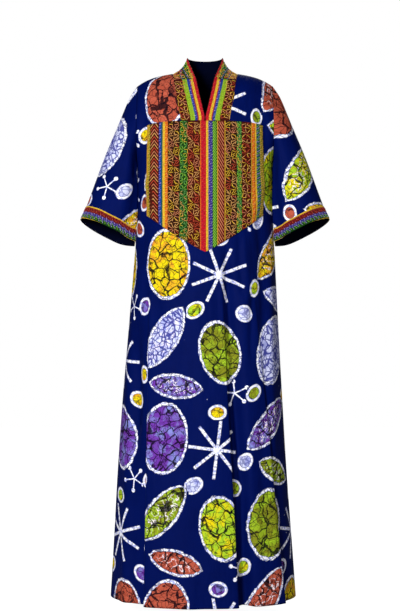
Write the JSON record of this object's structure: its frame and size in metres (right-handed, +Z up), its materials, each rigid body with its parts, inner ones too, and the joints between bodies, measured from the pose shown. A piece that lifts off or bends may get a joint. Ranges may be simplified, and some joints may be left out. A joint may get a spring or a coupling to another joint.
{
  "type": "kaftan",
  "caption": "Full-length V-neck kaftan with a standing collar, elbow-length flared sleeves and an embroidered chest panel, worn open at neck, cuffs and hem.",
  "frame": {"origin": "middle of the neck base, level with the inner ends of the shoulder seams, where the wearer's shoulders hold the garment up", "axes": "+Z up along the garment's length, -Y towards the front, +X towards the wearer's left"},
  "size_m": [0.6994, 0.3846, 1.502],
  "materials": {
    "batik_cotton": "smooth crisp cotton with a slight sheen, batik-printed",
    "embroidery": "dense cotton thread embroidery in vertical stripes",
    "collar_embroidery": "dense cotton thread embroidery"
  },
  "bodies": {
    "root": {"front_chest": "batik_cotton", "front_hip": "batik_cotton", "front_hem": "batik_cotton", "back_chest": "batik_cotton", "back_hip": "batik_cotton", "back_hem": "batik_cotton", "sleeve_left": "batik_cotton", "sleeve_right": "batik_cotton", "cuff_left": "embroidery", "cuff_right": "embroidery", "plastron": "embroidery", "neck_band_left": "embroidery", "neck_band_right": "embroidery", "collar": "collar_embroidery"}
  },
  "joints": []
}
